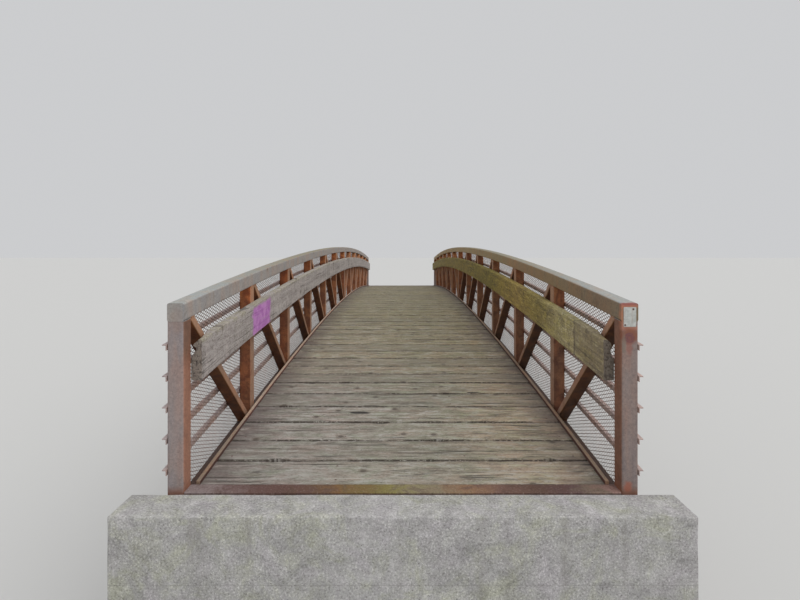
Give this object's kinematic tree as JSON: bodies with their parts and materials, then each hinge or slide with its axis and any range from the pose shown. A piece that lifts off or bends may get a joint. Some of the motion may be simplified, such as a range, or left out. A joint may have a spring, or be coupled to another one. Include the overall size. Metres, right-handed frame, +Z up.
{
  "type": "steel pony truss footbridge with timber deck",
  "caption": "Cambered pony-truss footbridge: rusted steel tube trusses with mesh sides and timber rub rails along a plank deck, set on concrete abutments.",
  "frame": {"origin": "on the ground under the middle of the bridge", "axes": "+X to the right across the bridge for someone who walks on at the near end, +Y along the bridge from the near end to the far end, +Z up"},
  "size_m": [3.01, 15.727, 2.805],
  "materials": {
    "truss_steel": "brown weathered steel with a dry rust skin, grey-mauve bloom on the near faces, orange at welds and feet",
    "floor_steel": "dark red-brown weathered steel",
    "mesh_steel": "brown weathered expanded steel mesh",
    "deck_boards": "weathered grey-brown planks with knots and checks",
    "rub_rail_timber": "weathered grey timber with green growth and worn ends",
    "concrete": "plain cast concrete, worn and stained",
    "bearing": "steel plate on a black rubber pad",
    "bare_metal": "dull bare metal, streaked"
  },
  "bodies": {
    "root": {"near_abutment": "concrete", "far_abutment": "concrete", "bearings": "bearing", "near_left_end_post": "truss_steel", "near_right_end_post": "truss_steel", "far_left_end_post": "truss_steel", "far_right_end_post": "truss_steel", "near_left_bottom_chord": "truss_steel", "middle_left_bottom_chord": "truss_steel", "far_left_bottom_chord": "truss_steel", "near_right_bottom_chord": "truss_steel", "middle_right_bottom_chord": "truss_steel", "far_right_bottom_chord": "truss_steel", "left_top_chord": "truss_steel", "right_top_chord": "truss_steel", "left_verticals": "truss_steel", "right_verticals": "truss_steel", "left_diagonals": "truss_steel", "right_diagonals": "truss_steel", "end_beams": "floor_steel", "floor_beams": "floor_steel", "inner_stringers": "floor_steel", "outer_stringers": "floor_steel", "lateral_braces": "floor_steel", "deck_1": "deck_boards", "deck_2": "deck_boards", "deck_3": "deck_boards", "deck_4": "deck_boards", "deck_5": "deck_boards", "deck_6": "deck_boards", "left_toe_bar": "truss_steel", "right_toe_bar": "truss_steel", "left_mesh_1": "mesh_steel", "left_mesh_2": "mesh_steel", "left_mesh_3": "mesh_steel", "left_mesh_4": "mesh_steel", "right_mesh_1": "mesh_steel", "right_mesh_2": "mesh_steel", "right_mesh_3": "mesh_steel", "right_mesh_4": "mesh_steel", "left_side_rails": "truss_steel", "right_side_rails": "truss_steel", "left_rub_rail": "rub_rail_timber", "right_rub_rail": "rub_rail_timber", "bare_plate": "bare_metal"}
  },
  "joints": []
}
